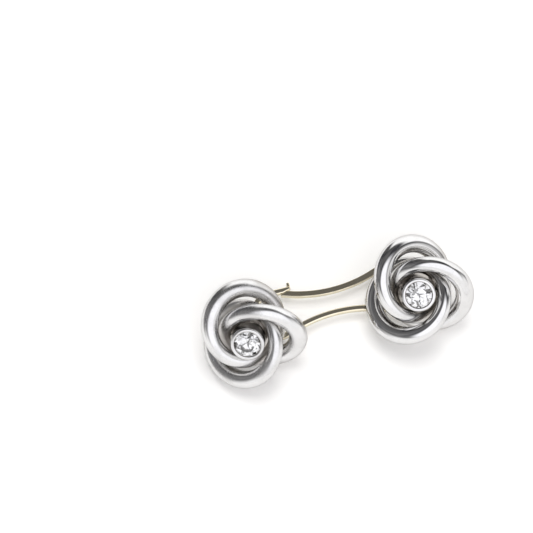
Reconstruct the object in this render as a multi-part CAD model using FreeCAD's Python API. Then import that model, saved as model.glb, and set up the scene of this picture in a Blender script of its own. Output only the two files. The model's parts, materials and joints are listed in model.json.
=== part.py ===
import FreeCAD, Part
import math
import os
from FreeCAD import Placement, Rotation, Vector

# Love-knot cufflink: two woven wire knots, each set with a stone, on a sprung link.
# X runs along the link, Z is up, and the origin is the middle of the link's waist,
# where the cuff sits. All sizes are in millimetres and degrees.

# Knot rings
lobe_wire_d = 2.16         # round wire of each ring, where it stands out as a lobe
inner_wire_d = 1.58        # the same wire, drawn thinner, where it passes the collet
strand_gap = 0.36          # air between two neighbouring rings
ring_tilt = 30.0           # tip of each ring about the direction it is set off in
ring_names = ["knot_ring_1", "knot_ring_2", "knot_ring_3"]
seat_depth = 0.10          # how far a ring is let into the collet
solder_film = 0.02         # gap that solder fills

# Stone and the collet that holds it
stone_d = 3.24
table_share = 0.55         # table width against the stone's width
crown_angle = 37.0
star_share = 0.62          # slope of the star facets against the crown's
girdle_share = 1.14        # slope of the upper girdle facets against the crown's
pavilion_angle = 40.5
lower_share = 1.04         # slope of the lower girdle facets against the pavilion's
girdle_thickness = 0.06
culet_d = 0.22
facet_steps = 8            # main facets round the stone
stone_play = 0.03          # gap between the stone and the metal round it
collet_wall = 0.32
collet_lip = 0.10          # how far the rim is rubbed over the stone's edge
lip_height = 0.16
rim_round = 0.12
rim_above_strands = 0.17
seat_height = 0.55
gallery_height = 1.30      # stout band of the collet that carries the rings
gallery_step = 0.18        # how far the gallery stands out beyond the ring seats
collet_tail = 0.75         # plain tube below the gallery

# Back cap and shank eye
cap_plug = 0.45            # length of the cap's plug inside the collet
cap_flange = 0.30
cap_cone = 0.40            # height of the cone between flange and neck
cap_neck_d = 1.50
eye_wire_d = 0.70
eye_play = 0.33            # looseness of the eye on the link

# Link, bent from square wire
link_wire = 0.70
link_length = 19.56        # from bend to bend over the wire's centre line
waist_gap = 2.74           # between the rails' centre lines at the waist
frame_bend_r = 2.75        # bend inside the left knot
spring_bend_r = 2.50       # bend inside the right knot
edge_round = 0.07
frame_setback = 1.50       # from the end of the lower rail to the middle of the right bend
tail_lap = 2.30            # how much of the lower rail the spring's tail is soldered to
nose_length = 2.45         # from the top of the left bend to the tip
nose_tip = 0.44            # thickness left at the nose's tip
scarf_angle = 15.0         # slope of the joint between nose and gate
gate_clearance = 0.06
gate_setback = 0.15        # how far the gate's tip is blunted
gate_opening = 7.0         # degrees that the gate springs inwards
flex_margin = 0.02
tab_thickness = 0.36
tab_reach = 0.45
tab_round_share = 0.42     # rounding of the tab against its thickness

# How the heads lie: slide round the bend, roll to the front, swing about the eye, and spin
knot_clearance = 0.24
dish_share = 0.37          # part of the rail's rise that the hollow knot leaves no room for
left_slide = -2.5
left_roll = 40.2
left_swing = -12.9
left_spin = -10.3
left_lift = 0.10
right_slide = -18.0
right_roll = 28.3
right_swing = 3.2
right_spin = -9.0
right_lift = -0.15

# Sizes that follow from the driving ones
lobe_r = lobe_wire_d / 2
inner_r = inner_wire_d / 2
stone_r = stone_d / 2
bore_r = stone_r + stone_play
collet_r = bore_r + collet_wall
gallery_r = collet_r + seat_depth + gallery_step
half_wire = link_wire / 2
wire_corner = half_wire * math.sqrt(2)
eye_wire_r = eye_wire_d / 2
ring_step = 360.0 / len(ring_names)


def wire_radius(angle):
    """Radius of a ring's wire: thickest at the lobe, where angle is 0, thinnest opposite."""
    return (lobe_r + inner_r) / 2 + (lobe_r - inner_r) / 2 * math.cos(angle)


def ring_radius(offset):
    """Radius of a ring that hugs the gallery on one side when set off from the axis."""
    return gallery_r - seat_depth + inner_r + offset


def ring_line(offset, turn):
    """Points along one tilted ring, set off from the knot's axis, with the wire's radius there."""
    count = 120
    mean_r = ring_radius(offset)
    tilt = math.radians(ring_tilt)
    along = math.radians(turn)
    points = []
    for step in range(count):
        angle = 2 * math.pi * step / count
        out = offset + mean_r * math.cos(angle)
        across = mean_r * math.sin(angle) * math.cos(tilt)
        place = Vector(
            out * math.cos(along) - across * math.sin(along),
            out * math.sin(along) + across * math.cos(along),
            mean_r * math.sin(angle) * math.sin(tilt))
        points.append((place, wire_radius(angle)))
    return points


def ring_air(offset):
    """Least air between two neighbouring rings."""
    first = ring_line(offset, 0)
    second = ring_line(offset, ring_step)
    return min(p.distanceToPoint(q) - p_r - q_r for p, p_r in first for q, q_r in second)


def find_ring_offset():
    """Offset at which neighbouring rings stand one strand gap apart."""
    low = 0
    high = 2 * lobe_wire_d
    halvings = 14
    for halving in range(halvings):
        middle = (low + high) / 2
        if ring_air(middle) < strand_gap:
            low = middle
        else:
            high = middle
    return high


ring_offset = find_ring_offset()
ring_r = ring_radius(ring_offset)
ring_rise = ring_r * math.sin(math.radians(ring_tilt))
knot_depth = math.hypot(ring_rise, (lobe_r - inner_r) / 2) + (lobe_r + inner_r) / 2
rim_top = knot_depth + rim_above_strands
most_roll = math.radians(max(left_roll, right_roll))
eye_inner_r = wire_corner / math.cos(most_roll) + eye_play
eye_r = eye_inner_r + eye_wire_r
rail_rise = dish_share * frame_bend_r * math.sin(most_roll)
eye_drop = knot_depth + wire_corner + knot_clearance + rail_rise
collet_bottom = -gallery_height / 2 - collet_tail


def turned(profile):
    """Solid turned about Z from a closed outline of (radius, height) points."""
    points = [Vector(radius, 0, height) for radius, height in profile]
    outline = Part.makePolygon(points + [points[0]])
    return Part.Face(outline).revolve(Vector(0, 0, 0), Vector(0, 0, 1), 360)


def half_ring(first, swell):
    """Half of a wire ring, lying flat about its own middle and starting at an angle."""
    sections = []
    steps = 8
    for step in range(steps + 1):
        angle = first + math.pi * step / steps
        middle = Vector(ring_r * math.cos(angle), ring_r * math.sin(angle), 0)
        run = Vector(-math.sin(angle), math.cos(angle), 0)
        circle = Part.Circle(middle, run, wire_radius(angle) + swell)
        sections.append(Part.Wire([circle.toShape()]))
    return Part.makeLoft(sections, True)


def knot_ring(index, swell=0.0):
    """One wire ring of the knot, tilted and set off from the knot's own centre."""
    ring = half_ring(0, swell).fuse(half_ring(math.pi, swell)).Solids[0]
    tilted = Placement(Vector(ring_offset, 0, 0), Rotation(Vector(1, 0, 0), ring_tilt))
    turned_round = Placement(Vector(0, 0, 0), Rotation(Vector(0, 0, 1), index * ring_step))
    ring.Placement = turned_round * tilted
    return ring


# The stone's girdle sits just under the lip of the collet. Between two girdle facets the
# stone stands out a little more than at their middles, and lip and seat leave room for that.
facet_corner = math.cos(math.radians(90.0 / facet_steps))
upper_slope = math.tan(math.radians(girdle_share * crown_angle))
lower_slope = math.tan(math.radians(lower_share * pavilion_angle))
lip_r = stone_r - collet_lip
lip_rise = (stone_r - lip_r * facet_corner) * upper_slope
girdle_top = rim_top - lip_height - lip_rise - stone_play
girdle_low = girdle_top - girdle_thickness


def flat_cut(solid, point, normal):
    """Grinds away what lies in front of a plane."""
    reach = 4 * stone_d
    waste = Part.makeBox(reach, reach, reach, Vector(-reach / 2, -reach / 2, 0))
    waste.Placement = Placement(point, Rotation(Vector(0, 0, 1), normal))
    return solid.cut(waste)


def facet_row(solid, count, first, radius, height, slope, up):
    """Grinds one row of facets, each through a point at radius and height."""
    lean = math.radians(slope)
    for step in range(count):
        turn = math.radians(first + 360.0 * step / count)
        side = Vector(math.cos(turn), math.sin(turn), 0)
        normal = side * math.sin(lean) + Vector(0, 0, up * math.cos(lean))
        solid = flat_cut(solid, side * radius + Vector(0, 0, height), normal)
    return solid


def cut_stone():
    """Old round brilliant: table, stars, kites, girdle facets, pavilion and culet."""
    table_corner = stone_r * table_share
    crown_height = (stone_r - table_corner) * math.tan(math.radians(crown_angle))
    pavilion_depth = (stone_r - culet_d / 2) * math.tan(math.radians(pavilion_angle))
    half_step = 180.0 / facet_steps
    table_edge = table_corner * math.cos(math.radians(half_step))
    table_top = girdle_top + crown_height
    stone = Part.makeCylinder(
        stone_r,
        crown_height + girdle_thickness + pavilion_depth,
        Vector(0, 0, girdle_low - pavilion_depth))
    stone = facet_row(stone, facet_steps, 0, stone_r, girdle_top, crown_angle, 1)
    stone = facet_row(
        stone, facet_steps, half_step, table_edge, table_top, star_share * crown_angle, 1)
    stone = facet_row(
        stone, 2 * facet_steps, half_step / 2, stone_r, girdle_top,
        girdle_share * crown_angle, 1)
    stone = facet_row(stone, facet_steps, 0, stone_r, girdle_low, pavilion_angle, -1)
    return facet_row(
        stone, 2 * facet_steps, half_step / 2, stone_r, girdle_low,
        lower_share * pavilion_angle, -1)


def collet():
    """Setting tube: rubbed-over rim, plain wall, and a gallery filed to seat the rings."""
    gallery_half = gallery_height / 2
    shoulder = gallery_r - collet_r
    tube = turned([
        (bore_r, collet_bottom),
        (collet_r, collet_bottom),
        (collet_r, -gallery_half - shoulder),
        (gallery_r, -gallery_half),
        (gallery_r, gallery_half),
        (collet_r, gallery_half + shoulder),
        (collet_r, rim_top - rim_round),
        (collet_r - rim_round, rim_top),
        (lip_r + rim_round / 2, rim_top),
        (lip_r, rim_top - rim_round),
        (lip_r, rim_top - lip_height),
        (bore_r, girdle_top + stone_play),
    ])
    for index in range(len(ring_names)):
        tube = tube.cut(knot_ring(index, solder_film))
    return tube


def stone_seat():
    """Bearing ring inside the collet, coned to take the stone's underside."""
    top = girdle_low - stone_play - stone_r * (1 - facet_corner) * lower_slope
    slope = facet_corner * lower_slope
    return turned([
        (bore_r, top - seat_height),
        (bore_r, top),
        (stone_r, top),
        (stone_r - seat_height / slope, top - seat_height),
    ])


def eye_wire(swell=0.0):
    """Round wire eye below the knot, with its hole along Y."""
    return Part.makeTorus(eye_r, eye_wire_r + swell, Vector(0, 0, -eye_drop), Vector(0, 1, 0))


def back_cap():
    """Turned cap that plugs the collet's back and carries the eye on a neck."""
    neck_r = cap_neck_d / 2
    plug_r = bore_r - solder_film
    flange_low = collet_bottom - cap_flange
    neck_low = eye_r - eye_drop
    cap = turned([
        (0, collet_bottom + cap_plug),
        (plug_r, collet_bottom + cap_plug),
        (plug_r, collet_bottom),
        (collet_r, collet_bottom),
        (collet_r, flange_low),
        (neck_r, flange_low - cap_cone),
        (neck_r, neck_low),
        (0, neck_low),
    ])
    return cap.cut(eye_wire(solder_film))


def on_circle(centre, radius, angle):
    """Point on a circle in the plane of the link."""
    turn = math.radians(angle)
    return centre + Vector(radius * math.cos(turn), radius * math.sin(turn), 0)


def bearing(start, end):
    """Direction from one point to another in the plane of the link, in degrees."""
    return math.degrees(math.atan2(end.y - start.y, end.x - start.x))


# The link's outline: a hollow arc for each rail, with a round bend inside each knot
half_waist = waist_gap / 2
frame_bend_x = link_length / 2 - frame_bend_r
waist_r = (frame_bend_x ** 2 / (frame_bend_r - half_waist) - frame_bend_r - half_waist) / 2
waist_y = half_waist + waist_r
tail_r = waist_r + link_wire + solder_film
upper_reach = waist_r + spring_bend_r
lower_reach = tail_r + spring_bend_r
spring_bend_y = (lower_reach ** 2 - upper_reach ** 2) / (4 * waist_y)
spring_bend_x = math.sqrt(upper_reach ** 2 - (waist_y - spring_bend_y) ** 2)
frame_bend = Vector(-frame_bend_x, 0, 0)
spring_bend = Vector(spring_bend_x, spring_bend_y, 0)
upper_waist = Vector(0, waist_y, 0)
lower_waist = Vector(0, -waist_y, 0)
gate_pivot = on_circle(spring_bend, spring_bend_r, bearing(spring_bend, upper_waist))
frame_end = spring_bend_x - frame_setback
tail_start = frame_end - tail_lap

# The nose runs straight off the left bend, and is scarfed where the gate bears on it
nose_root = Vector(-frame_bend_x, frame_bend_r, 0)
nose_end = nose_root + Vector(nose_length, 0, 0)
nose_back = nose_end + Vector(0, half_wire, 0)
scarf_end = nose_back - Vector(0, nose_tip, 0)
scarf_run = on_circle(Vector(0, 0, 0), 1, scarf_angle)
scarf_up = on_circle(Vector(0, 0, 0), 1, 90 + scarf_angle)


def line_span(start, end, shift):
    """Straight span of a strip's outline, moved to the left of its run."""
    run = (end - start).normalize()
    left = Vector(-run.y, run.x, 0) * shift
    return Part.LineSegment(start + left, end + left).toShape()


def arc_span(centre, radius, first, last, shift):
    """Round span of a strip's outline, moved to the left of its run."""
    turning_left = last > first
    moved_r = radius - shift if turning_left else radius + shift
    ends = [on_circle(centre, moved_r, angle) for angle in (first, (first + last) / 2, last)]
    return Part.Arc(*ends).toShape()


def bent_strip(spans):
    """Square wire bent flat along spans, each given as its maker and its values."""
    left = [make(*values, half_wire) for make, values in spans]
    right = [make(*values, -half_wire) for make, values in spans]
    start = Part.LineSegment(right[0].firstVertex(True).Point, left[0].firstVertex(True).Point)
    end = Part.LineSegment(right[-1].lastVertex(True).Point, left[-1].lastVertex(True).Point)
    edges = left + right + [start.toShape(), end.toShape()]
    outline = Part.Wire(Part.__sortEdges__(edges))
    strip = Part.Face(outline).extrude(Vector(0, 0, link_wire))
    strip.translate(Vector(0, 0, -half_wire))
    long_edges = [edge for edge in strip.Edges if edge.Length > 2 * link_wire]
    return strip.makeFillet(edge_round, long_edges)


def scarf_waste(length, back, depth, height):
    """Block lying along the scarf, from its end backwards, on the side that depth points to."""
    block = Part.makeBox(length, abs(depth), height, Vector(-back, min(depth, 0), -height / 2))
    block.Placement = Placement(scarf_end, Rotation(Vector(0, 0, 1), scarf_angle))
    return block


def link_frame():
    """Nose, left bend and lower rail in one length of wire."""
    bend_end = 360 + bearing(frame_bend, lower_waist)
    rail_start = bearing(lower_waist, frame_bend)
    rail_end = math.degrees(math.acos(frame_end / waist_r))
    frame = bent_strip([
        (line_span, (nose_end, nose_root)),
        (arc_span, (frame_bend, frame_bend_r, 90, bend_end)),
        (arc_span, (lower_waist, waist_r, rail_start, rail_end)),
    ])
    return frame.cut(scarf_waste(nose_length + link_wire, nose_length, -link_wire, 2 * link_wire))


def spring_strip():
    """Tail soldered inside the lower rail, and the sprung bend inside the right knot."""
    tail_angle = math.degrees(math.acos(tail_start / tail_r))
    return bent_strip([
        (arc_span, (lower_waist, tail_r, tail_angle, bearing(lower_waist, spring_bend))),
        (arc_span, (spring_bend, spring_bend_r,
                    bearing(spring_bend, lower_waist), bearing(spring_bend, upper_waist))),
    ])


def gate_sharp_end():
    """Point where the gate's inner face would run out to an edge on the scarf."""
    inner_r = waist_r + half_wire
    foot = scarf_end - scarf_up * gate_clearance - upper_waist
    along = foot.dot(scarf_run)
    back = -along - math.sqrt(along ** 2 - foot.dot(foot) + inner_r ** 2)
    return upper_waist + foot + scarf_run * back


def gate_arm():
    """Upper rail, from the sprung bend to the scarfed tip that bears on the nose."""
    flex_gap = half_wire * math.tan(math.radians(gate_opening)) + flex_margin
    start = bearing(upper_waist, gate_pivot) - math.degrees(flex_gap / waist_r)
    tip = bearing(upper_waist, gate_sharp_end()) + math.degrees(gate_setback / waist_r)
    arm = bent_strip([(arc_span, (upper_waist, waist_r, start, tip))])
    waste = scarf_waste(2 * link_length, link_length, link_length, 2 * link_wire)
    waste.translate(-scarf_up * gate_clearance)
    return arm.cut(waste)


def thumb_tab():
    """Small lip on the end of the nose, to pull the nose by."""
    tab = Part.makeBox(
        tab_thickness, tab_reach, link_wire, nose_back - Vector(tab_thickness, 0, half_wire))
    top = nose_back.y + tab_reach
    outer = [edge for edge in tab.Edges if abs(edge.BoundBox.YMin - top) < edge_round]
    return tab.makeFillet(tab_round_share * tab_thickness, outer)


def head_placement(bend, bend_r, side, slide, roll, swing, lift):
    """Where a head lies, and its eye's centre and hole direction."""
    turn = Rotation(Vector(0, 0, 1), slide)
    tip = Rotation(Vector(1, 0, 0), roll)
    out = Rotation(Vector(0, 1, 0), swing)
    lie = turn * tip * out
    eye = on_circle(bend, side * bend_r, slide) + Vector(0, 0, lift)
    axis = (turn * tip).multVec(Vector(0, 1, 0))
    return Placement(eye + lie.multVec(Vector(0, 0, eye_drop)), lie), eye, axis


def head_pieces(spin):
    """The eight pieces of one head about the knot's own centre, the knot spun on its axis."""
    pieces = {"collet": collet(), "stone_seat": stone_seat(), "stone": cut_stone()}
    for index, ring_name in enumerate(ring_names):
        pieces[ring_name] = knot_ring(index)
    for piece in pieces.values():
        piece.Placement = Placement(Vector(0, 0, 0), Rotation(Vector(0, 0, 1), spin)) * piece.Placement
    pieces["back_cap"] = back_cap()
    pieces["shank_eye"] = eye_wire()
    return pieces


os.makedirs("parts", exist_ok=True)
left_place, left_eye, left_axis = head_placement(
    frame_bend, frame_bend_r, -1, left_slide, left_roll, left_swing, left_lift)
right_place, right_eye, right_axis = head_placement(
    spring_bend, spring_bend_r, 1, right_slide, right_roll, right_swing, right_lift)
for piece_name, piece in head_pieces(left_spin).items():
    piece.Placement = left_place * piece.Placement
    piece.exportStep("parts/left_%s.step" % piece_name)
for piece_name, piece in head_pieces(right_spin).items():
    piece.Placement = right_place * piece.Placement
    piece.exportStep("parts/right_%s.step" % piece_name)
link_frame().exportStep("parts/link_frame.step")
spring_strip().exportStep("parts/spring_strip.step")
gate_arm().exportStep("parts/gate_arm.step")
thumb_tab().exportStep("parts/thumb_tab.step")

print("left eye centre", tuple(left_eye), "hole direction", tuple(left_axis))
print("right eye centre", tuple(right_eye), "hole direction", tuple(right_axis))
print("gate pivot", tuple(gate_pivot))
print("ring radius", ring_r, "offset", ring_offset, "eye drop", eye_drop)
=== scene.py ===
import json
import math

import bmesh
import bpy
from mathutils import Matrix, Vector


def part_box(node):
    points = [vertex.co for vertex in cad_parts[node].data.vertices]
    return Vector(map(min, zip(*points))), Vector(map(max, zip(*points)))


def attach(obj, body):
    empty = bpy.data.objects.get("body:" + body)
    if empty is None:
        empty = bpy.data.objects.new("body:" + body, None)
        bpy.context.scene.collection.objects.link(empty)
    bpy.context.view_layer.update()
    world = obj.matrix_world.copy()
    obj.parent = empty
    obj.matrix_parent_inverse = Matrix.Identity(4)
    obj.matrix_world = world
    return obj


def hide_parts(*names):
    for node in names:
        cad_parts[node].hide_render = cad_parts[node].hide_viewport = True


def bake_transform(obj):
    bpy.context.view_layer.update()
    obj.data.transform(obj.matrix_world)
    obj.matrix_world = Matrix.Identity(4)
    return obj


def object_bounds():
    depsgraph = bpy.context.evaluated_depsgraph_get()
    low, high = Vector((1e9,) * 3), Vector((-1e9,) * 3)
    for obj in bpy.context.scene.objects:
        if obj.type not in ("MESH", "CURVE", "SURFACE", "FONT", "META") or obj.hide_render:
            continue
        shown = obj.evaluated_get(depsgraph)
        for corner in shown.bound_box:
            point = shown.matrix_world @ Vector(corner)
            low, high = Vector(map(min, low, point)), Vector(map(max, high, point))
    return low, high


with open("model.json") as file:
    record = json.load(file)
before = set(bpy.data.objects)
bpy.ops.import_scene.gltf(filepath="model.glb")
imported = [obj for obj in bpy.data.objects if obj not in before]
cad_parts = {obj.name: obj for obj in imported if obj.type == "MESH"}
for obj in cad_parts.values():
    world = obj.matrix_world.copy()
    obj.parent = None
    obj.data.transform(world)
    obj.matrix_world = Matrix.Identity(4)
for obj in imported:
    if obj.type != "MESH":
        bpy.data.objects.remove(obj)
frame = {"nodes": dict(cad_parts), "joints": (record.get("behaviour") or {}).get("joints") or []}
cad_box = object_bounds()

# Collets
# The plain setting tube in the middle of each knot, turned from white metal. Its top edge is
# rubbed over the stone, and its stouter gallery carries the rings, which are soldered on.
mm = 0.001
bore_r = 1.65 * mm
collet_r = 1.97 * mm
gallery_r = 2.25 * mm
gallery_half = 0.65 * mm
lip_r = 1.52 * mm
lip_height = 0.16 * mm
lip_slope = 0.17 * mm
rim_round = 0.22 * mm
lip_round = 0.19 * mm
shoulder_round = 0.06 * mm
crease_angle = math.radians(32)
weld = 0.0005 * mm
near = 0.001 * mm
turn_steps = 128
round_steps = 6
sides = ("left", "right")


def middle_of(node):
    """Centre of volume of a solid of the frame."""
    mesh = frame["nodes"][node].data
    mesh.calc_loop_triangles()
    volume = 0
    middle = Vector()
    for triangle in mesh.loop_triangles:
        a, b, c = (mesh.vertices[index].co for index in triangle.vertices)
        share = a.dot(b.cross(c))
        volume += share
        middle += share * (a + b + c) / 4
    return middle / volume


def knot_place(side):
    """Place of a knot: its middle, with X towards the first ring's lobe and Z up its axis."""
    lobes = [middle_of(f"{side}_knot_ring_{number}") for number in (1, 2, 3)]
    middle = sum(lobes, Vector()) / len(lobes)
    along = (lobes[0] - middle).normalized()
    axis = (lobes[1] - lobes[0]).cross(lobes[2] - lobes[0]).normalized()
    turn = Matrix((along, axis.cross(along), axis)).transposed()
    return Matrix.Translation(middle) @ turn.to_4x4()


knots = {side: knot_place(side) for side in sides}


def heights(side, node):
    """Lowest and highest point of a solid along its knot's axis."""
    to_knot = knots[side].inverted()
    levels = [(to_knot @ vertex.co).z for vertex in frame["nodes"][node].data.vertices]
    return min(levels), max(levels)


def rounded(shape, edges, size, segments):
    """Rounds some edges off, and keeps what lies beside the rounding crisp."""
    made = bmesh.ops.bevel(
        shape, geom=edges, offset=size, affect="EDGES", segments=segments, profile=0.5,
        material=-1, clamp_overlap=True)
    roundings = set(made["faces"])
    for edge in shape.edges:
        if len(roundings.intersection(edge.link_faces)) == 1:
            edge.smooth = False


def turned(outline):
    """Shape turned about Z from points of radius, height and rounding, 0 for a crisp corner."""
    shape = bmesh.new()
    corners = [shape.verts.new((radius, 0, height)) for radius, height, rounding in outline]
    edges = [shape.edges.new(pair) for pair in zip(corners, corners[1:])]
    if outline[0][0] > 0:
        edges.append(shape.edges.new((corners[-1], corners[0])))
    bmesh.ops.spin(
        shape, geom=corners + edges, cent=(0, 0, 0), axis=(0, 0, 1),
        angle=2 * math.pi, steps=turn_steps, use_merge=True)
    bmesh.ops.remove_doubles(shape, verts=shape.verts, dist=weld)
    bmesh.ops.recalc_face_normals(shape, faces=shape.faces)
    for radius, height, rounding in outline:
        if rounding:
            circle = [
                edge for edge in shape.edges
                if all(
                    abs(vertex.co.z - height) < near
                    and abs(vertex.co.xy.length - radius) < near
                    for vertex in edge.verts)]
            rounded(shape, circle, rounding, round_steps)
    return shape


def finished(shape, name, place, material, smooth=True):
    """Object of a finished shape, with its place in its mesh."""
    shape.transform(place)
    bmesh.ops.recalc_face_normals(shape, faces=shape.faces)
    if shape.calc_volume(signed=True) < 0:
        bmesh.ops.reverse_faces(shape, faces=shape.faces)
    mesh = bpy.data.meshes.new(name)
    for face in shape.faces:
        face.smooth = smooth
    for edge in shape.edges:
        if edge.calc_face_angle(0) > crease_angle:
            edge.smooth = False
    shape.to_mesh(mesh)
    shape.free()
    mesh.materials.append(material)
    piece = bpy.data.objects.new(name, mesh)
    bpy.context.scene.collection.objects.link(piece)
    return piece


class Finish:
    """One value in a finish's nodes. Arithmetic on it adds Math nodes."""

    def __init__(self, tree, socket=None):
        self.tree = tree
        self.socket = socket

    def node(self, kind, settings=(), sockets=(), output=0):
        """Adds a node, sets it up, feeds its sockets, and gives one of its outputs."""
        made = self.tree.nodes.new(kind)
        for key, value in dict(settings).items():
            setattr(made, key, value)
        for key, value in dict(sockets).items():
            if isinstance(value, Finish):
                self.tree.links.new(value.socket, made.inputs[key])
            else:
                made.inputs[key].default_value = value
        return Finish(self.tree, made.outputs[output]) if made.outputs else None

    def maths(self, operation, *values):
        """Adds a Math node for an operation."""
        return self.node("ShaderNodeMath", {"operation": operation}, enumerate(values))

    def __add__(self, other):
        return self.maths("ADD", self, other)

    def __radd__(self, other):
        return self.maths("ADD", other, self)

    def __sub__(self, other):
        return self.maths("SUBTRACT", self, other)

    def __rsub__(self, other):
        return self.maths("SUBTRACT", other, self)

    def __mul__(self, other):
        return self.maths("MULTIPLY", self, other)

    def __rmul__(self, other):
        return self.maths("MULTIPLY", other, self)

    def smooth(self, low, high):
        """Rises softly from 0 to 1 between two values."""
        return self.node(
            "ShaderNodeMapRange", {"interpolation_type": "SMOOTHSTEP"},
            {"Value": self, "From Min": low, "From Max": high})

    def mixed(self, first, second):
        """Colour that goes from the first to the second with this value."""
        return self.node(
            "ShaderNodeMix", {"data_type": "RGBA"}, {0: self, 6: first, 7: second}, output=2)


def new_finish(name):
    """A new material without nodes, and the start of its finish."""
    material = bpy.data.materials.new(name)
    material.use_nodes = True
    material.node_tree.nodes.clear()
    return material, Finish(material.node_tree)


edge_tint = (0.60, 0.60, 0.60, 1)
cloud_scale = 420
speck_scale = 5200
hairline_scale = (9000, 700, 2600)
hairline_turn = (0.5, 0.9, 0.4)
tarnish_start = 0.38
tarnish_full = 0.72
scratch_start = 0.56
scratch_full = 0.70
tarnish_share = 0.6
speck_share = 0.25
scratch_wear = 0.5
hairline_bump = 0.7
speck_bump = 0.3
bump_strength = 0.05
bump_height = 0.02 * mm
# Painted shade: a brown mixed into the metal's colour in a knot's hollows, on its underside and in
# the crevice inside the collet's lip.
painted_shade_brown = (0.46, 0.435, 0.405, 1)
painted_shade_roughness = 0.12
painted_shade_even = 0.7
painted_shade_patchy = 0.6
crevice_out = 0.13 * mm
crevice_in = 0.03 * mm
hollow_rim = 4.4 * mm
hollow_heart = 2.9 * mm
hollow_top = 2.1 * mm
hollow_bed = 0.5 * mm
underside_top = -0.6 * mm
underside_low = -2.2 * mm
underside_painted_shade = 0.8


def polished_metal(name, bright, dull, polish, wear, knot=None):
    """Hand-polished metal: cloudy tarnish, fine hairlines, and painted shade in a knot's hollows,
    underneath it and inside the collet's lip.
    """
    material, finish = new_finish(name)
    place = finish.node("ShaderNodeTexCoord", output="Object")
    clouds = finish.node(
        "ShaderNodeTexNoise", {},
        {"Vector": place, "Scale": cloud_scale, "Detail": 4, "Roughness": 0.55})
    specks = finish.node(
        "ShaderNodeTexNoise", {},
        {"Vector": place, "Scale": speck_scale, "Detail": 2, "Roughness": 0.6})
    stretched = finish.node(
        "ShaderNodeMapping", {},
        {"Vector": place, "Rotation": hairline_turn, "Scale": hairline_scale})
    hairlines = finish.node(
        "ShaderNodeTexNoise", {}, {"Vector": stretched, "Scale": 1, "Detail": 3, "Roughness": 0.7})
    tarnish = clouds.smooth(tarnish_start, tarnish_full)
    scratched = hairlines.smooth(scratch_start, scratch_full)
    colour = (tarnish_share * tarnish + speck_share * specks).mixed(bright, dull)
    roughness = polish + wear * tarnish + scratch_wear * wear * scratched
    # Painted shade: the colour goes towards brown, a little rougher, in the knot's hollows, on its
    # underside and inside the lip, patchy with the clouds.
    if knot:
        inside = finish.node(
            "ShaderNodeMapping", {"vector_type": "TEXTURE"},
            {"Vector": place, "Location": knot.to_translation(), "Rotation": knot.to_euler()})
        x, y, z = (
            finish.node("ShaderNodeSeparateXYZ", {}, {0: inside}, output=axis) for axis in "XYZ")
        reach = finish.maths("SQRT", x * x + y * y)
        hollow = reach.smooth(hollow_rim, hollow_heart) * z.smooth(hollow_top, hollow_bed)
        crevice = reach.smooth(lip_r + crevice_out, lip_r + crevice_in)
        under = underside_painted_shade * z.smooth(underside_top, underside_low)
        painted_shade = finish.maths("MAXIMUM", hollow, finish.maths("MAXIMUM", under, crevice))
        painted_shade = painted_shade * (painted_shade_even + painted_shade_patchy * clouds)
        colour = painted_shade.mixed(colour, painted_shade_brown)
        roughness = roughness + painted_shade_roughness * painted_shade
    bump = finish.node(
        "ShaderNodeBump", {},
        {"Height": hairline_bump * hairlines + speck_bump * specks, "Strength": bump_strength,
         "Distance": bump_height})
    surface = finish.node(
        "ShaderNodeBsdfPrincipled", {},
        {"Base Color": colour, "Metallic": 1.0, "Roughness": roughness, "Normal": bump,
         "Specular Tint": edge_tint})
    finish.node("ShaderNodeOutputMaterial", {}, {"Surface": surface})
    return material


bright_white = (0.80, 0.797, 0.795, 1)
dull_white = (0.66, 0.652, 0.645, 1)
ring_polish = {"left": 0.20, "right": 0.06}
ring_wear = {"left": 0.11, "right": 0.06}
rim_polish = 0.08
rim_wear = 0.05
white_metal = {
    side: polished_metal(
        f"{side}_white_metal", bright_white, dull_white, ring_polish[side], ring_wear[side],
        knots[side])
    for side in sides}
burnished = {
    side: polished_metal(
        f"{side}_burnished_metal", bright_white, dull_white, rim_polish, rim_wear, knots[side])
    for side in sides}
for side in sides:
    low, high = heights(side, f"{side}_collet")
    shoulder = gallery_r - collet_r
    lip_foot = high - lip_height - lip_slope
    shape = turned([
        (bore_r, low, 0),
        (collet_r, low, 0),
        (collet_r, -gallery_half - shoulder, 0),
        (gallery_r, -gallery_half, shoulder_round),
        (gallery_r, gallery_half, shoulder_round),
        (collet_r, gallery_half + shoulder, 0),
        (collet_r, high, rim_round),
        (lip_r, high, lip_round),
        (lip_r, high - lip_height, 0),
        (bore_r, lip_foot, 0),
    ])
    collet = finished(shape, f"{side}_setting_tube", knots[side], burnished[side])
    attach(collet, f"{side}_head")
    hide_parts(f"{side}_collet")

# Stone seats
# The bearing that each stone rests on, a coned ring soldered inside the collet.
# It is hidden by the stone and keeps the turned solid as it is.
for side in sides:
    seat = frame["nodes"][f"{side}_stone_seat"]
    seat.data.materials.clear()
    seat.data.materials.append(white_metal[side])

# Stones
# An old round brilliant in each collet, cut from clear crystal: table, stars, kites, girdle
# facets, pavilion and a small culet, each a flat ground on in turn. The rubbed rim holds it.
stone_r = 1.62 * mm
table_share = 0.55
crown_angle = 37.0
star_angle = 22.94
upper_girdle_angle = 42.18
pavilion_angle = 40.5
lower_girdle_angle = 42.12
girdle_thickness = 0.06 * mm
girdle_steps = 96
main_facets = 8
uneven = 1.3
lean_wander = 2.4
turn_wander = 4.1
cut_snap = 1e-9
refraction = 2.417
bloom_scale = 2600
bloom_start = 0.55
bloom_full = 0.8
bloom_roughness = 0.02
clean_flat = (1, 1, 1, 1)
dusty_flat = (0.93, 0.94, 0.96, 1)


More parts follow.
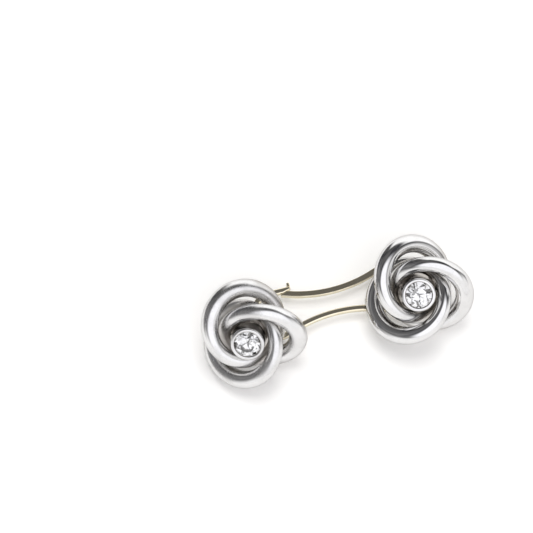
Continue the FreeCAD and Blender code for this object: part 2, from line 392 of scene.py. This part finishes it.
def ground(shape, count, first, radius, height, slope, up, hand):
    """Grinds one row of flats, each through a point at radius and height, uneven as by hand."""
    for step in range(count):
        lean = math.radians(slope + uneven * math.sin(hand + lean_wander * step + first))
        astray = uneven * math.sin(2 * hand + turn_wander * step)
        turn = math.radians(first + 360 * step / count + astray)
        out = Vector((math.cos(turn), math.sin(turn), 0))
        cut = bmesh.ops.bisect_plane(
            shape, geom=shape.verts[:] + shape.edges[:] + shape.faces[:], dist=cut_snap,
            plane_co=out * radius + Vector((0, 0, height)),
            plane_no=out * math.sin(lean) + Vector((0, 0, up * math.cos(lean))),
            clear_outer=True)
        edges = [item for item in cut["geom_cut"] if isinstance(item, bmesh.types.BMEdge)]
        if edges:
            bmesh.ops.contextual_create(shape, geom=edges)


def clear_stone_finish():
    """Clear crystal of high refraction, with a faint bloom of dust on its flats."""
    material, finish = new_finish("clear_stone_crystal")
    place = finish.node("ShaderNodeTexCoord", output="Object")
    dust = finish.node(
        "ShaderNodeTexNoise", {},
        {"Vector": place, "Scale": bloom_scale, "Detail": 3, "Roughness": 0.6})
    bloom = dust.smooth(bloom_start, bloom_full)
    colour = bloom.mixed(clean_flat, dusty_flat)
    surface = finish.node(
        "ShaderNodeBsdfPrincipled", {},
        {"Base Color": colour, "Roughness": bloom_roughness * bloom, "IOR": refraction,
         "Transmission Weight": 1.0})
    finish.node("ShaderNodeOutputMaterial", {}, {"Surface": surface})
    return material


crystal = clear_stone_finish()
hands = {"left": 0.6, "right": 2.9}
for side in sides:
    culet, table = heights(side, f"{side}_stone")
    table_corner = stone_r * table_share
    half_step = 180 / main_facets
    table_edge = table_corner * math.cos(math.radians(half_step))
    girdle_top = table - (stone_r - table_corner) * math.tan(math.radians(crown_angle))
    girdle_low = girdle_top - girdle_thickness
    shape = bmesh.new()
    bmesh.ops.create_cone(
        shape, cap_ends=True, segments=girdle_steps, radius1=stone_r, radius2=stone_r,
        depth=table - culet, matrix=Matrix.Translation((0, 0, (table + culet) / 2)))
    quarter_step = half_step / 2
    hand = hands[side]
    ground(shape, main_facets, 0, stone_r, girdle_top, crown_angle, 1, hand)
    ground(shape, main_facets, half_step, table_edge, table, star_angle, 1, hand)
    ground(
        shape, 2 * main_facets, quarter_step, stone_r, girdle_top, upper_girdle_angle, 1, hand)
    ground(shape, main_facets, 0, stone_r, girdle_low, pavilion_angle, -1, hand)
    ground(
        shape, 2 * main_facets, quarter_step, stone_r, girdle_low, lower_girdle_angle, -1, hand)
    stone = finished(shape, f"{side}_brilliant", knots[side], crystal, smooth=False)
    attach(stone, f"{side}_head")
    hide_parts(f"{side}_stone")

# Knot rings
# Three closed rings of round white-metal wire in each head, each passed over one neighbour and
# under the other, then soldered to the gallery. The wire is drawn thinner towards the collet.
ring_count = 3
ring_r = 4.294 * mm
ring_offset = 1.354 * mm
ring_tilt = math.radians(30)
lobe_wire_r = 1.08 * mm
inner_wire_r = 0.79 * mm
ring_wire_steps = 48
ring_steps = 192


def hoop(hoop_r, wire_r, wire_steps, hoop_steps):
    """A closed hoop of even round wire, lying flat."""
    shape = bmesh.new()
    upright = Matrix.Translation((hoop_r, 0, 0)) @ Matrix.Rotation(math.pi / 2, 4, "X")
    bmesh.ops.create_circle(shape, segments=wire_steps, radius=wire_r, matrix=upright)
    bmesh.ops.spin(
        shape, geom=shape.verts[:] + shape.edges[:], cent=(0, 0, 0), axis=(0, 0, 1),
        angle=2 * math.pi, steps=hoop_steps, use_merge=True)
    bmesh.ops.remove_doubles(shape, verts=shape.verts, dist=weld)
    bmesh.ops.recalc_face_normals(shape, faces=shape.faces)
    return shape


def wire_ring():
    """One ring lying flat, its lobe towards X, its wire tapered to the far side."""
    shape = hoop(ring_r, lobe_wire_r, ring_wire_steps, ring_steps)
    for vertex in shape.verts:
        core = vertex.co.xy.normalized().to_3d() * ring_r
        to_lobe = (1 + core.x / ring_r) / 2
        wire_r = inner_wire_r + (lobe_wire_r - inner_wire_r) * to_lobe
        vertex.co = core + (vertex.co - core) * wire_r / lobe_wire_r
    return shape


for side in sides:
    for number in range(ring_count):
        turn = Matrix.Rotation(2 * math.pi * number / ring_count, 4, "Z")
        tilted = Matrix.Translation((ring_offset, 0, 0)) @ Matrix.Rotation(ring_tilt, 4, "X")
        ring = finished(
            wire_ring(), f"{side}_ring_wire_{number + 1}", knots[side] @ turn @ tilted,
            white_metal[side])
        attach(ring, f"{side}_head")
        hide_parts(f"{side}_knot_ring_{number + 1}")

# Back caps
# A turned cap plugs each collet's back. Its cone narrows to a neck that carries the eye.
# White metal, turned in one and soldered in.
plug_r = 1.63 * mm
cap_plug = 0.45 * mm
cap_flange = 0.30 * mm
cap_cone = 0.40 * mm
neck_r = 0.75 * mm
cap_round = 0.08 * mm
for side in sides:
    low, high = heights(side, f"{side}_back_cap")
    flange_top = high - cap_plug
    flange_low = flange_top - cap_flange
    shape = turned([
        (0, high, 0),
        (plug_r, high, 0),
        (plug_r, flange_top, 0),
        (collet_r, flange_top, cap_round / 2),
        (collet_r, flange_low, cap_round),
        (neck_r, flange_low - cap_cone, cap_round),
        (neck_r, low, 0),
        (0, low, 0),
    ])
    cap = finished(shape, f"{side}_turned_cap", knots[side], white_metal[side])
    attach(cap, f"{side}_head")
    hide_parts(f"{side}_back_cap")

# Shank eyes
# A small closed eye of round white-metal wire under each cap, let into its neck and soldered.
# It runs loosely on the link's end bend, so the head leans and swings on it.
eye_wire_r = 0.35 * mm
eye_wire_steps = 32
eye_steps = 96
for side in sides:
    joint = next(item for item in frame["joints"] if item["child"] == f"{side}_head")
    hole = Vector(joint["axis"]).normalized()
    reach = max(
        (vertex.co - Vector(joint["pos_m"])).length
        for vertex in frame["nodes"][f"{side}_shank_eye"].data.vertices)
    eye_r = reach - eye_wire_r
    place = Matrix.Translation(joint["pos_m"]) @ hole.to_track_quat("Z", "X").to_matrix().to_4x4()
    shape = hoop(eye_r, eye_wire_r, eye_wire_steps, eye_steps)
    eye = finished(shape, f"{side}_eye_loop", place, white_metal[side])
    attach(eye, f"{side}_head")
    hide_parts(f"{side}_shank_eye")

# Link frame
# Square yellow-metal wire bent flat in one length: a straight nose with a scarfed tip, the round
# bend inside the left knot, and the lower rail, which curves in to the waist.
link_wire = 0.70 * mm
link_length = 19.56 * mm
half_waist = 1.37 * mm
frame_bend_r = 2.75 * mm
spring_bend_r = 2.50 * mm
edge_round = 0.15 * mm
solder_film = 0.02 * mm
frame_setback = 1.50 * mm
tail_lap = 2.30 * mm
nose_length = 2.45 * mm
nose_tip = 0.44 * mm
scarf_angle = math.radians(15)
sharp_angle = math.radians(40)
edge_steps = 4
bend_steps = 64
half_wire = link_wire / 2
frame_bend_x = link_length / 2 - frame_bend_r
waist_r = (frame_bend_x ** 2 / (frame_bend_r - half_waist) - frame_bend_r - half_waist) / 2
waist_y = half_waist + waist_r
tail_r = waist_r + link_wire + solder_film
spring_bend_y = (
    (tail_r + spring_bend_r) ** 2 - (waist_r + spring_bend_r) ** 2) / (4 * waist_y)
spring_bend_x = math.sqrt((waist_r + spring_bend_r) ** 2 - (waist_y - spring_bend_y) ** 2)
frame_bend = Vector((-frame_bend_x, 0, 0))
spring_bend = Vector((spring_bend_x, spring_bend_y, 0))
upper_waist = Vector((0, waist_y, 0))
lower_waist = Vector((0, -waist_y, 0))
nose_root = Vector((-frame_bend_x, frame_bend_r, 0))
nose_end = nose_root + Vector((nose_length, 0, 0))
scarf_end = nose_end + Vector((0, half_wire - nose_tip, 0))
scarf_up = Vector((-math.sin(scarf_angle), math.cos(scarf_angle), 0))
frame_end = spring_bend_x - frame_setback


def bearing(start, end):
    """Direction from one point to another in the plane of the link."""
    return math.atan2(end.y - start.y, end.x - start.x)


def wire_end(shape, middle, out):
    """Square outline of the wire's end, across the direction out from a bend's middle."""
    up = Vector((0, 0, 1))
    corners = [
        shape.verts.new(middle + out * half_wire * across + up * half_wire * above)
        for across, above in ((-1, -1), (1, -1), (1, 1), (-1, 1))]
    return corners + [shape.edges.new(pair) for pair in zip(corners, corners[1:] + corners[:1])]


def bent(shape, outline, centre, angle, steps):
    """Carries a wire's end round a bend, and gives its new end."""
    made = bmesh.ops.spin(
        shape, geom=outline, cent=centre, axis=(0, 0, 1), angle=angle, steps=steps)
    return made["geom_last"]


def scarfed(shape, point, toward, reach):
    """Cuts a scarf across the stretch of wire that lies within reach of a point."""
    stretch = [
        face for face in shape.faces
        if all((vertex.co - point).length < reach for vertex in face.verts)]
    edges = {edge for face in stretch for edge in face.edges}
    corners = {vertex for face in stretch for vertex in face.verts}
    cut = bmesh.ops.bisect_plane(
        shape, geom=list(corners) + list(edges) + stretch, dist=cut_snap,
        plane_co=point, plane_no=toward, clear_outer=True)
    edges = [item for item in cut["geom_cut"] if isinstance(item, bmesh.types.BMEdge)]
    bmesh.ops.contextual_create(shape, geom=edges)


def eased(shape):
    """Closes a wire's open ends, and takes the sharpness off its edges."""
    bmesh.ops.holes_fill(shape, edges=shape.edges, sides=0)
    bmesh.ops.recalc_face_normals(shape, faces=shape.faces)
    sharp = [
        edge for edge in shape.edges
        if edge.is_manifold and edge.calc_face_angle() > sharp_angle]
    rounded(shape, sharp, edge_round, edge_steps)


bright_yellow = (0.92, 0.855, 0.68, 1)
dull_yellow = (0.80, 0.72, 0.54, 1)
link_polish = 0.11
link_wear = 0.07
yellow_metal = polished_metal(
    "yellow_metal_polish", bright_yellow, dull_yellow, link_polish, link_wear)
shape = bmesh.new()
outline = wire_end(shape, nose_end, Vector((0, 1, 0)))
drawn = bmesh.ops.extrude_edge_only(
    shape, edges=[item for item in outline if isinstance(item, bmesh.types.BMEdge)])["geom"]
outline = [item for item in drawn if not isinstance(item, bmesh.types.BMFace)]
bmesh.ops.translate(
    shape, vec=nose_root - nose_end,
    verts=[item for item in outline if isinstance(item, bmesh.types.BMVert)])
bend_angle = 2 * math.pi + bearing(frame_bend, lower_waist) - math.pi / 2
outline = bent(shape, outline, frame_bend, bend_angle, bend_steps)
rail_angle = math.acos(frame_end / waist_r) - bearing(lower_waist, frame_bend)
bent(shape, outline, lower_waist, rail_angle, bend_steps)
scarfed(shape, scarf_end, -scarf_up, nose_length + link_wire)
eased(shape)
link_frame = finished(shape, "link_wire_frame", Matrix.Identity(4), yellow_metal)
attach(link_frame, "link")
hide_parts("link_frame")

# Gate spring
# One springy strip of the same square wire. Its tail is soldered inside the lower rail, it bends
# round inside the right knot, and its free arm is the gate, scarfed to bear on the nose.
gate_clearance = 0.06 * mm
gate_setback = 0.15 * mm
tail_steps = 24
tail_start = frame_end - tail_lap
shape = bmesh.new()
tail_angle = math.acos(tail_start / tail_r)
tail_out = Vector((math.cos(tail_angle), math.sin(tail_angle), 0))
outline = wire_end(shape, lower_waist + tail_out * tail_r, tail_out)
lap_angle = bearing(lower_waist, spring_bend) - tail_angle
outline = bent(shape, outline, lower_waist, lap_angle, tail_steps)
bend_angle = bearing(spring_bend, upper_waist) - bearing(spring_bend, lower_waist)
outline = bent(shape, outline, spring_bend, bend_angle, bend_steps)
gate_pivot = spring_bend + (upper_waist - spring_bend).normalized() * spring_bend_r
scarf_run = Vector((math.cos(scarf_angle), math.sin(scarf_angle), 0))
foot = scarf_end - scarf_up * gate_clearance - upper_waist
along = foot.dot(scarf_run)
inner_r = waist_r + half_wire
back = -along - math.sqrt(along ** 2 - foot.length_squared + inner_r ** 2)
sharp_end = upper_waist + foot + scarf_run * back
gate_angle = bearing(upper_waist, sharp_end) - bearing(upper_waist, gate_pivot)
gate_angle = gate_angle + gate_setback / waist_r
bent(shape, outline, upper_waist, gate_angle, bend_steps)
scarfed(shape, scarf_end - scarf_up * gate_clearance, scarf_up, nose_length + link_wire)
eased(shape)
gate_spring = finished(shape, "gate_spring_strip", Matrix.Identity(4), yellow_metal)
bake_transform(gate_spring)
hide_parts("spring_strip", "gate_arm")

# Thumb tab
# A small upturned lip soldered on the nose's end, to pull the nose off the gate with a nail.
# Yellow metal, filed round along its free edges.
tab_round = 0.12 * mm
tab_steps = 5
shape = bmesh.new()
low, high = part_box("thumb_tab")
place = Matrix.Translation((low + high) / 2) @ Matrix.Diagonal((high - low).to_4d())
bmesh.ops.create_cube(shape, size=1, matrix=place)
free = [
    edge for edge in shape.edges
    if any(vertex.co.y > low.y + tab_round for vertex in edge.verts)]
rounded(shape, free, tab_round, tab_steps)
tab = finished(shape, "nose_thumb_tab", Matrix.Identity(4), yellow_metal)
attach(tab, "link")
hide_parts("thumb_tab")

# Studio
# A sheet of white paper under the link, with a lamp over it that lights the paper alone. Round them
# a dim, uneven room with soft lights: a big round one that leans over from the front, a low wide
# one below it, and one low behind to the right. An arch of dark is left between them.
floor_half = 3.0
floor_glow = 0.11
paper_white = (0.95, 0.94, 0.92, 1)
lamp_size = 0.55
lamp_power = 5.0
lamp_place = Vector((0.02, 0.25, 1.0))
shape = bmesh.new()
bmesh.ops.create_grid(
    shape, x_segments=1, y_segments=1, size=floor_half,
    matrix=Matrix.Translation((0, 0, cad_box[0][2])))
paper, finish = new_finish("floor_paper")
direct = finish.node("ShaderNodeLightPath", output="Is Camera Ray")
glossy = finish.node("ShaderNodeLightPath", output="Is Glossy Ray")
through = finish.node("ShaderNodeLightPath", output="Is Transmission Ray")
seen = finish.maths("MAXIMUM", finish.maths("MAXIMUM", direct, glossy), through)
diffuse = finish.node("ShaderNodeBsdfDiffuse", {}, {"Color": paper_white})
glow = finish.node(
    "ShaderNodeEmission", {}, {"Color": (1, 1, 1, 1), "Strength": floor_glow * seen})
both = finish.node("ShaderNodeAddShader", {}, {0: diffuse, 1: glow})
finish.node("ShaderNodeOutputMaterial", {}, {"Surface": both})
floor = finished(shape, "floor", Matrix.Identity(4), paper)

floor_light = bpy.data.lights.new("floor_light", "AREA")
floor_light.size = lamp_size
floor_light.energy = lamp_power
floor_lamp = bpy.data.objects.new("floor_light", floor_light)
floor_lamp.matrix_world = (
    Matrix.Translation(lamp_place) @ lamp_place.to_track_quat("Z", "Y").to_matrix().to_4x4())
floor_lamp.visible_glossy = False
floor_lamp.visible_transmission = False
bpy.context.scene.collection.objects.link(floor_lamp)

world = bpy.data.worlds.new("studio")
bpy.context.scene.world = world
world.use_nodes = True
world.node_tree.nodes.clear()
sky = Finish(world.node_tree)
direction = sky.node("ShaderNodeTexCoord", output="Generated")
x, y, z = (
    sky.node("ShaderNodeSeparateXYZ", {}, {0: direction}, output=axis) for axis in "XYZ")
level = sky.maths("ARCSINE", z)


def soft_box(azimuth, half_width, side_soft, high, top_soft):
    """Where a soft box stands: 1 inside it and 0 outside, in degrees from straight behind."""
    turn = math.radians(azimuth)
    across = x * math.cos(turn) - y * math.sin(turn)
    ahead = x * math.sin(turn) + y * math.cos(turn)
    off = sky.maths("ABSOLUTE", sky.maths("ARCTAN2", across, ahead))
    wide = off.smooth(math.radians(half_width + side_soft), math.radians(half_width - side_soft))
    over = level.smooth(math.radians(high + top_soft), math.radians(high - top_soft))
    return wide * over


def round_light(azimuth, height, reach, soft):
    """Where a round light stands: 1 inside it and 0 outside, in degrees from straight behind."""
    turn = math.radians(azimuth)
    rise = math.radians(height)
    facing = (
        x * (math.sin(turn) * math.cos(rise)) + y * (math.cos(turn) * math.cos(rise))
        + z * math.sin(rise))
    off = sky.maths("ARCCOSINE", facing)
    return off.smooth(math.radians(reach + soft), math.radians(reach - soft))


room_scale = 2.4
gloom_start = 0.40
gloom_end = 0.62
dark_room = (0.047, 0.047, 0.054, 1)
dim_room = (0.128, 0.125, 0.123, 1)
dark_side = (0.125, 0.125, 0.135, 1)
dim_side = (0.28, 0.276, 0.273, 1)
ceiling_white = (0.15, 0.148, 0.15, 1)
front_white = (1.3, 1.3, 1.35, 1)
low_white = (1.12, 1.115, 1.12, 1)
back_white = (1.32, 1.32, 1.32, 1)
room = sky.node(
    "ShaderNodeTexNoise", {},
    {"Vector": direction, "Scale": room_scale, "Detail": 3, "Roughness": 0.6})
uneven_room = room.smooth(gloom_start, gloom_end)
left_side = soft_box(azimuth=-85, half_width=40, side_soft=20, high=60, top_soft=12)
ceiling = round_light(azimuth=4, height=69, reach=12, soft=10)
front_light = round_light(azimuth=170, height=52, reach=39, soft=8)
low_light = soft_box(azimuth=180, half_width=75, side_soft=18, high=26, top_soft=12)
back_light = soft_box(azimuth=44, half_width=44, side_soft=9, high=42, top_soft=6)
colour = uneven_room.mixed(dark_room, dim_room)
colour = left_side.mixed(colour, uneven_room.mixed(dark_side, dim_side))
colour = ceiling.mixed(colour, ceiling_white)
colour = front_light.mixed(colour, front_white)
colour = low_light.mixed(colour, low_white)
colour = back_light.mixed(colour, back_white)
background = sky.node("ShaderNodeBackground", {}, {"Color": colour, "Strength": 1.0})
sky.node("ShaderNodeOutputWorld", {}, {"Surface": background})

# Camera
# Looks down on the link from in front and a little to its left, through a long lens,
# with the link low and to the right of the middle of the picture.
elevation = math.radians(69.5)
azimuth = math.radians(14.43)
distance = 350 * mm
frame_width = 62.93 * mm
aim_up = 4.113 * mm
aim_left = 7.963 * mm
to_right = Vector((math.cos(azimuth), -math.sin(azimuth), 0))
to_camera = Vector((
    -math.sin(azimuth) * math.cos(elevation),
    -math.cos(azimuth) * math.cos(elevation),
    math.sin(elevation)))
to_top = to_camera.cross(to_right)
aim = to_top * aim_up - to_right * aim_left
lens = bpy.data.cameras.new("camera")
lens.sensor_width = 36
lens.lens = lens.sensor_width * distance / frame_width
lens.clip_start = 0.01
camera = bpy.data.objects.new("camera", lens)
turn = Matrix((to_right, to_top, to_camera)).transposed().to_4x4()
camera.matrix_world = Matrix.Translation(aim + to_camera * distance) @ turn
bpy.context.scene.collection.objects.link(camera)
bpy.context.scene.camera = camera
bpy.context.scene.view_settings.view_transform = "Standard"
